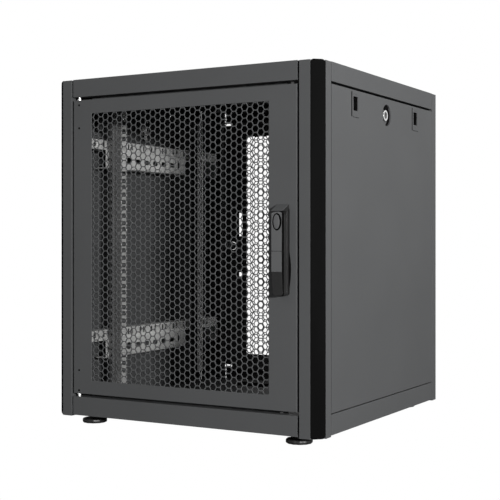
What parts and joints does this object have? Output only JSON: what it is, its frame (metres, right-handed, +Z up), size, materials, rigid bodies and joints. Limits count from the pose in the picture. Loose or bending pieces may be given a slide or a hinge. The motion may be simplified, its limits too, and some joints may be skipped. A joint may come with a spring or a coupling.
{
  "type": "network server rack cabinet",
  "caption": "Floor-standing 19-inch network rack cabinet with perforated front and rear doors, swing handle, lift-off side panels, square-hole rails and levelling feet.",
  "frame": {"origin": "on the floor below the centre of the object's box, handle included", "axes": "+Z up, +X to the right seen from the front door, +Y from the front door to the rear door"},
  "size_m": [0.6, 0.628, 0.693],
  "materials": {
    "powder_coat": "dark grey fine-textured powder coat",
    "mesh_coat": "dark grey powder coat on perforated sheet",
    "trim_plastic": "near-black fine-grained plastic",
    "handle_plastic": "black moulded plastic with a light grain",
    "zinc_plate": "bright zinc-plated sheet steel",
    "dark_zinc": "black zinc-plated steel",
    "chrome_plate": "polished chrome plate",
    "foot_plastic": "black glass-filled plastic",
    "brush_fibre": "black nylon bristles"
  },
  "bodies": {
    "cabinet": {"corner_trim_front_left": "trim_plastic", "corner_trim_front_right": "trim_plastic", "corner_trim_rear_left": "trim_plastic", "corner_trim_rear_right": "trim_plastic", "floor_panel": "powder_coat", "front_bottom_rail": "powder_coat", "front_top_rail": "powder_coat", "left_bottom_rail": "powder_coat", "left_top_rail": "powder_coat", "mounting_rail_front_left": "zinc_plate", "mounting_rail_front_right": "zinc_plate", "mounting_rail_rear_left": "zinc_plate", "mounting_rail_rear_right": "zinc_plate", "post_front_left": "powder_coat", "post_front_right": "powder_coat", "post_rear_left": "powder_coat", "post_rear_right": "powder_coat", "rail_support_bottom_left": "zinc_plate", "rail_support_bottom_right": "zinc_plate", "rail_support_top_left": "zinc_plate", "rail_support_top_right": "zinc_plate", "rear_bottom_rail": "powder_coat", "rear_top_rail": "powder_coat", "right_bottom_rail": "powder_coat", "right_top_rail": "powder_coat", "roof_cable_brush": "brush_fibre", "roof_panel": "powder_coat", "roof_vent_grille": "powder_coat"},
    "foot_front_left": {"levelling_foot_front_left": "foot_plastic"},
    "foot_front_right": {"levelling_foot_front_right": "foot_plastic"},
    "foot_rear_left": {"levelling_foot_rear_left": "foot_plastic"},
    "foot_rear_right": {"levelling_foot_rear_right": "foot_plastic"},
    "front_door": {"front_door_frame": "powder_coat", "front_door_mesh": "mesh_coat", "front_hinge_pin_top": "zinc_plate", "front_hinge_pin_bottom": "zinc_plate", "front_handle_base": "handle_plastic"},
    "rear_door": {"rear_door_frame": "powder_coat", "rear_door_mesh": "mesh_coat", "rear_hinge_pin_top": "zinc_plate", "rear_hinge_pin_bottom": "zinc_plate"},
    "handle_spindle": {"front_handle_spindle": "zinc_plate"},
    "handle_lever": {"front_handle_lever": "handle_plastic"},
    "lock_cover": {"front_lock_cover": "handle_plastic"},
    "lock_core": {"front_lock_core": "chrome_plate"},
    "rod_top": {"front_lock_rod_top": "dark_zinc"},
    "rod_bottom": {"front_lock_rod_bottom": "dark_zinc"},
    "rear_lock": {"rear_door_lock": "chrome_plate"},
    "panel_left": {"side_panel_left": "powder_coat"},
    "panel_lock_left": {"side_lock_left": "chrome_plate"},
    "panel_latch_left_front": {"side_latch_left_front": "handle_plastic"},
    "panel_latch_left_rear": {"side_latch_left_rear": "handle_plastic"},
    "panel_right": {"side_panel_right": "powder_coat"},
    "panel_lock_right": {"side_lock_right": "chrome_plate"},
    "panel_latch_right_front": {"side_latch_right_front": "handle_plastic"},
    "panel_latch_right_rear": {"side_latch_right_rear": "handle_plastic"}
  },
  "joints": [
    {"name": "front_door_swing", "type": "hinge", "parent": "cabinet", "child": "front_door", "pos_m": [-0.2426, -0.2785, 0.063], "axis": [0, 0, -1], "range_deg": [0, 110]},
    {"name": "rear_door_swing", "type": "hinge", "parent": "cabinet", "child": "rear_door", "pos_m": [0.2426, 0.3065, 0.063], "axis": [0, 0, -1], "range_deg": [0, 110]},
    {"name": "handle_turn", "type": "hinge", "parent": "front_door", "child": "handle_spindle", "pos_m": [0.226, -0.286, 0.404], "axis": [0, 1, 0], "range_deg": [0, 90]},
    {"name": "handle_tilt", "type": "hinge", "parent": "handle_spindle", "child": "handle_lever", "pos_m": [0.226, -0.3082, 0.4173], "axis": [-1, 0, 0], "range_deg": [0, 40]},
    {"name": "lock_cover_turn", "type": "hinge", "parent": "handle_lever", "child": "lock_cover", "pos_m": [0.226, -0.3131, 0.4125], "axis": [0, 1, 0], "range_deg": [0, 120]},
    {"name": "key_turn", "type": "hinge", "parent": "handle_lever", "child": "lock_core", "pos_m": [0.226, -0.3124, 0.404], "axis": [0, 1, 0], "range_deg": [0, 90]},
    {"name": "rod_top_slide", "type": "slide", "parent": "front_door", "child": "rod_top", "axis": [0, 0, 1], "range_m": [-0.0126, 0]},
    {"name": "rod_bottom_slide", "type": "slide", "parent": "front_door", "child": "rod_bottom", "axis": [0, 0, 1], "range_m": [0, 0.0126]},
    {"name": "rear_lock_turn", "type": "hinge", "parent": "rear_door", "child": "rear_lock", "pos_m": [-0.234, 0.314, 0.355], "axis": [0, 1, 0], "range_deg": [0, 90]},
    {"name": "panel_tilt_left", "type": "hinge", "parent": "cabinet", "child": "panel_left", "pos_m": [-0.2995, 0.014, 0.059], "axis": [0, -1, 0], "range_deg": [0, 20]},
    {"name": "panel_key_turn_left", "type": "hinge", "parent": "panel_left", "child": "panel_lock_left", "pos_m": [-0.2978, 0.0138, 0.6194], "axis": [1, 0, 0], "range_deg": [0, 90]},
    {"name": "panel_latch_slide_left_front", "type": "slide", "parent": "panel_left", "child": "panel_latch_left_front", "axis": [0, 0, -1], "range_m": [0, 0.007], "stiffness_N_per_m": 300, "springref_m": -0.01},
    {"name": "panel_latch_slide_left_rear", "type": "slide", "parent": "panel_left", "child": "panel_latch_left_rear", "axis": [0, 0, -1], "range_m": [0, 0.007], "stiffness_N_per_m": 300, "springref_m": -0.01},
    {"name": "panel_tilt_right", "type": "hinge", "parent": "cabinet", "child": "panel_right", "pos_m": [0.2995, 0.014, 0.059], "axis": [0, 1, 0], "range_deg": [0, 20]},
    {"name": "panel_key_turn_right", "type": "hinge", "parent": "panel_right", "child": "panel_lock_right", "pos_m": [0.2978, 0.0138, 0.6194], "axis": [1, 0, 0], "range_deg": [0, 90]},
    {"name": "panel_latch_slide_right_front", "type": "slide", "parent": "panel_right", "child": "panel_latch_right_front", "axis": [0, 0, -1], "range_m": [0, 0.007], "stiffness_N_per_m": 300, "springref_m": -0.01},
    {"name": "panel_latch_slide_right_rear", "type": "slide", "parent": "panel_right", "child": "panel_latch_right_rear", "axis": [0, 0, -1], "range_m": [0, 0.007], "stiffness_N_per_m": 300, "springref_m": -0.01},
    {"name": "foot_turn_front_left", "type": "hinge", "parent": "cabinet", "child": "foot_front_left", "pos_m": [-0.234, -0.24, 0], "axis": [0, 0, 1], "continuous": true},
    {"name": "foot_turn_front_right", "type": "hinge", "parent": "cabinet", "child": "foot_front_right", "pos_m": [0.234, -0.24, 0], "axis": [0, 0, 1], "continuous": true},
    {"name": "foot_turn_rear_left", "type": "hinge", "parent": "cabinet", "child": "foot_rear_left", "pos_m": [-0.234, 0.268, 0], "axis": [0, 0, 1], "continuous": true},
    {"name": "foot_turn_rear_right", "type": "hinge", "parent": "cabinet", "child": "foot_rear_right", "pos_m": [0.234, 0.268, 0], "axis": [0, 0, 1], "continuous": true}
  ],
  "couplings": [
    {"joint": "rod_top_slide", "follows": "handle_turn", "m_per_rad": -0.008},
    {"joint": "rod_bottom_slide", "follows": "handle_turn", "m_per_rad": 0.008}
  ]
}
